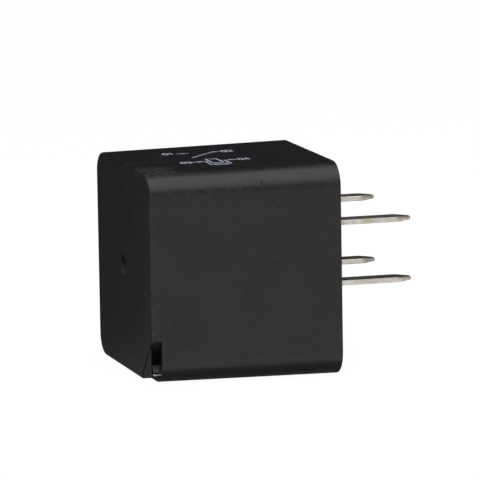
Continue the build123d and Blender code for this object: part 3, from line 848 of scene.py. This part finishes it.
def hinge_turned(x, z):
    """A point of the closed contact system, turned to where it is when open."""
    dx = x - HINGE_X
    dz = z - HINGE_Z
    return (
        HINGE_X + dx * math.cos(HINGE_OPEN) + dz * math.sin(HINGE_OPEN),
        HINGE_Z - dx * math.sin(HINGE_OPEN) + dz * math.cos(HINGE_OPEN),
    )


def smooth_path(points, per_run):
    """Catmull-Rom curve through the points."""
    path = []
    ends = [points[0] * 2 - points[1]] + points + [points[-1] * 2 - points[-2]]
    for a, b, c, d in zip(ends, ends[1:], ends[2:], ends[3:]):
        for i in range(per_run):
            t = i / per_run
            path.append(
                0.5
                * (
                    2 * b
                    + (c - a) * t
                    + (2 * a - 5 * b + 4 * c - d) * t**2
                    + (3 * b - a - 3 * c + d) * t**3
                )
            )
    path.append(points[-1].copy())
    return path


def make_braid(material):
    """Strands that cross over and under each other round the braid's path.

    Each of the path's seven runs has 22 points."""
    path = smooth_path(braid_path(), 22)
    frames = side_vectors(path)
    run = [0.0]
    for a, b in zip(path, path[1:]):
        run.append(run[-1] + (b - a).length)
    pitch = mm(3.4)
    strand = mm(0.075)  # radius
    middle = mm(0.385)  # radius that the strands weave about
    swing = mm(0.035)
    pinched = mm(2.0)  # length over which the welded end narrows
    carriers = 8
    bm = bmesh.new()
    for sense in (-1, 1):
        for k in range(carriers):
            line = []
            for i, point in enumerate(path):
                turn = sense * 2 * math.pi * run[i] / pitch + 2 * math.pi * k / carriers
                wave = math.sin(carriers * 2 * math.pi * run[i] / pitch + (math.pi * k))
                a, b = frames[i]
                r = middle + sense * wave * swing
                squeeze = 1.0
                left = run[-1] - run[i]
                if left < pinched:
                    squeeze = 0.72 + 0.28 * left / pinched
                line.append(point + r * squeeze * (a * math.cos(turn) + b * math.sin(turn)))
            tube_rings(bm, line, side_vectors(line), strand, 5)
    core = mm(0.30)  # the filling under the strands
    tube_rings(bm, path, frames, core, 10)
    obj = mesh_object("braid_strands", bm, 60.0)
    obj.data.materials.append(material)
    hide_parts("shunt_braid")
    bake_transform(obj)
    return obj


# ------------------------------------------------------------------ leaf spring


def make_spring(material):
    """The leaf spring: the CAD node's mesh with its edges rounded."""
    mesh = cleaned("contact_spring", 0.2)
    obj = link(bpy.data.objects.new("leaf_spring", mesh))
    bevel = obj.modifiers.new("edges", "BEVEL")
    bevel.width = mm(0.04)
    bevel.segments = 2
    bevel.limit_method = "ANGLE"
    bevel.angle_limit = math.radians(50)
    apply_modifiers(obj)
    smooth(obj.data, 40.0)
    obj.data.materials.clear()
    obj.data.materials.append(material)
    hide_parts("contact_spring")
    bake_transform(obj)
    return obj


# ------------------------------------------------------------------ solder


def make_solder(material):
    """The CAD beads, melted into rounded blobs."""
    mesh = cleaned("solder_joints", 0.2)
    obj = link(bpy.data.objects.new("solder_blobs", mesh))
    remesh = obj.modifiers.new("melt", "REMESH")
    remesh.mode = "VOXEL"
    remesh.voxel_size = mm(0.09)
    soften = obj.modifiers.new("soften", "SMOOTH")
    soften.factor = 0.6
    soften.iterations = 8
    apply_modifiers(obj)
    smooth(obj.data, 80.0)
    return finish_piece(obj, BASE, "solder", material, "solder_joints")


# ------------------------------------------------------------------ printed circuit


# strokes of each digit in a cell one high
DIGITS = {
    "0": [
        [(0.15, 0), (0, 0.2), (0, 0.8), (0.15, 1), (0.4, 1)]
        + [(0.55, 0.8), (0.55, 0.2), (0.4, 0), (0.15, 0)]
    ],
    "1": [[(0.05, 0.75), (0.3, 1), (0.3, 0)]],
    "2": [[(0, 0.8), (0.12, 1), (0.43, 1), (0.55, 0.8), (0.55, 0.62), (0, 0), (0.58, 0)]],
    "3": [
        [(0, 0.9), (0.15, 1), (0.42, 1), (0.55, 0.85), (0.55, 0.65), (0.4, 0.53), (0.2, 0.53)],
        [(0.4, 0.53), (0.57, 0.4), (0.57, 0.15), (0.42, 0), (0.12, 0), (0, 0.12)],
    ],
    "4": [[(0.42, 0), (0.42, 1), (0, 0.3), (0.6, 0.3)]],
}


def printed_height(x):
    """The drafted side's height at x, in mm."""
    return HALF + x * math.tan(DRAFT)


def stroke(bm, points, width, thick, place):
    """A flat ribbon with square ends and mitred corners. place(u, v, h) gives the 3-D point."""
    half = width / 2
    sunk = -0.02  # its underside, below the surface
    left = []
    right = []
    for i, (u, v) in enumerate(points):
        before = Vector(points[max(i - 1, 0)])
        after = Vector(points[min(i + 1, len(points) - 1)])
        here = Vector((u, v))
        d1 = (here - before).normalized() if i else (after - here).normalized()
        d2 = (after - here).normalized() if i < len(points) - 1 else d1
        mid = (d1 + d2).normalized() if (d1 + d2).length > 1e-6 else d1
        across = Vector((-mid.y, mid.x))
        grow = 1 / max(0.5, across.dot(Vector((-d1.y, d1.x))))
        push = mid * (-half * 0.5 if i == 0 else half * 0.5 if i == len(points) - 1 else 0)
        left.append(here + across * half * grow + push)
        right.append(here - across * half * grow + push)
    rows = []
    for p, q in zip(left, right):
        rows.append(
            [
                bm.verts.new(place(p.x, p.y, thick)),
                bm.verts.new(place(q.x, q.y, thick)),
                bm.verts.new(place(q.x, q.y, sunk)),
                bm.verts.new(place(p.x, p.y, sunk)),
            ]
        )
    for a, b in zip(rows, rows[1:]):
        for k in range(4):
            n = (k + 1) % 4
            bm.faces.new((a[k], a[n], b[n], b[k]))
    bm.faces.new(list(reversed(rows[0])))
    bm.faces.new(rows[-1])


def ring_points(u, v, r, count=14):
    turns = [2 * math.pi * k / count for k in range(count + 1)]
    return [(u + r * math.cos(t), v + r * math.sin(t)) for t in turns]


def box_points(u0, u1, v0, v1):
    return [(u0, v0), (u1, v0), (u1, v1), (u0, v1), (u0, v0)]


def number(text, u, v, height, spread):
    """Strokes of a short number whose lower left corner is at (u, v)."""
    lines = []
    for i, digit in enumerate(text):
        shift = i * height * 0.42 * spread
        for line in DIGITS[digit]:
            lines.append(
                [(u + shift + a * height * 0.52 * spread, v + b * height) for a, b in line]
            )
    return lines


def make_print(material):
    """The circuit on the printed side: a coil with a resistor across it, and an open contact."""
    thin = 0.24
    thick = 0.014
    dot = 0.26
    tall, wide = 1.4, 1.35
    lines = []
    # contact row
    lines += number("01", -18.75, 4.25, tall, wide)
    lines += [[(-16.95, 4.7), (-16.5, 4.65)], ring_points(-16.2, 4.62, dot)]
    lines += [[(-15.92, 4.6), (-15.4, 4.55)]]
    lines += [[(-16.0, 0.2), (-12.3, 4.12)], ring_points(-12.0, 4.25, dot)]
    lines += [[(-11.72, 4.25), (-11.3, 4.25)]]
    lines += number("02", -10.95, 3.5, tall, wide)
    # coil row
    lines += number("03", -18.75, -4.85, tall, wide)
    lines += [[(-17.05, -4.15), (-16.65, -4.12)], ring_points(-16.38, -4.1, dot)]
    lines += [[(-16.1, -4.1), (-14.9, -4.05)]]
    lines += [box_points(-14.9, -13.5, -5.85, -2.15)]
    lines += [[(-13.5, -4.0), (-12.25, -4.0)], ring_points(-11.98, -4.0, dot)]
    lines += [[(-11.7, -4.0), (-11.3, -3.98)]]
    lines += [[(-15.5, -4.05), (-15.5, -7.35), (-14.95, -7.35)]]
    lines += [box_points(-14.95, -13.45, -7.85, -6.85)]
    lines += [[(-13.45, -7.35), (-12.86, -7.35), (-12.86, -4.0)]]
    lines += number("04", -10.95, -4.75, tall, wide)

    def place(u, v, h):
        return mm(u, v, printed_height(u) + h)

    bm = bmesh.new()
    for line in lines:
        stroke(bm, line, thin, thick, place)
    obj = mesh_object("printed_circuit", bm)
    return finish_piece(obj, COVER, "cover_plastic", material)


def make_base_numbers(material):
    """Raised generic numbers by the blades on the base's outer face."""
    bm = bmesh.new()

    def place(u, v, h):
        return mm(h, u, v)

    width, raised = 0.27, 0.15
    tall, wide = 1.8, 1.1
    spots = [("1", -8.5, 2.4), ("2", -8.5, -6.1), ("3", 7.6, 2.7), ("4", 7.6, -5.9)]
    for text, u, v in spots:
        for line in number(text, u, v, tall, wide):
            stroke(bm, line, width, raised, place)
    obj = mesh_object("base_numbers", bm)
    return finish_piece(obj, BASE, "base_plastic", material)


# ------------------------------------------------------------------ everything


def make_pieces():
    resistor_middle_z = 1.5
    looks = {
        "cover_plastic": cover_look(),
        "base_plastic": base_look(),
        "tinned_brass": tinned_look(),
        "plated_steel": steel_look(),
        "bobbin_plastic": bobbin_look(),
        "enamelled_copper": enamel_look(),
        "solder": solder_look(),
        "spring_bronze": bronze_look(),
        "bare_copper": braid_look(),
        "contact_alloy": contact_look(),
        "resistor_lacquer": resistor_look(resistor_middle_z),
    }
    # node, piece, body, slot, width of its rounded edges in mm, segments
    plain = [
        ("cover", "cover_shell", COVER, "cover_plastic", 0.06, 2),
        ("base", "base_plinth", BASE, "base_plastic", 0.08, 2),
        ("coil_terminal_upper", "blade_coil_upper", BASE, "tinned_brass", 0.09, 3),
        ("coil_terminal_lower", "blade_coil_lower", BASE, "tinned_brass", 0.09, 3),
        ("common_terminal", "blade_common", BASE, "tinned_brass", 0.09, 3),
        ("contact_terminal", "blade_contact", BASE, "tinned_brass", 0.09, 3),
        ("back_stop", "stop_strip", BASE, "plated_steel", 0.05, 2),
        ("yoke", "yoke_frame", BASE, "plated_steel", 0.12, 3),
        ("core", "core_pole", BASE, "plated_steel", 0.06, 2),
        ("bobbin", "bobbin_spool", BASE, "bobbin_plastic", 0.10, 3),
        ("armature", "armature_plate", MOVING, "plated_steel", 0.12, 3),
        ("armature_rivets", "rivets_armature", MOVING, "plated_steel", 0.03, 2),
        ("spring_rivets", "rivets_spring", BASE, "plated_steel", 0.03, 2),
        ("fixed_contact", "contact_fixed", BASE, "contact_alloy", 0.03, 2),
        ("moving_contact", "contact_moving", MOVING, "contact_alloy", 0.03, 2),
        ("suppression_resistor", "resistor_body", BASE, "resistor_lacquer", 0.02, 1),
        ("resistor_leads", "resistor_wires", BASE, "solder", 0.02, 1),
        ("coil_leads", "coil_wires", BASE, "enamelled_copper", 0.01, 1),
    ]
    for node, name, body, slot, width, segments in plain:
        refined(node, name, body, slot, looks[slot], width, segments)
    make_winding(looks["enamelled_copper"])
    make_braid(looks["bare_copper"])
    make_spring(looks["spring_bronze"])
    make_solder(looks["solder"])
    make_print(ink_look())
    make_base_numbers(looks["base_plastic"])


bpy.context.scene.view_settings.view_transform = "Standard"
make_camera()
make_world()
make_lights()
make_floor()
make_pieces()

bpy.context.view_layer.update()
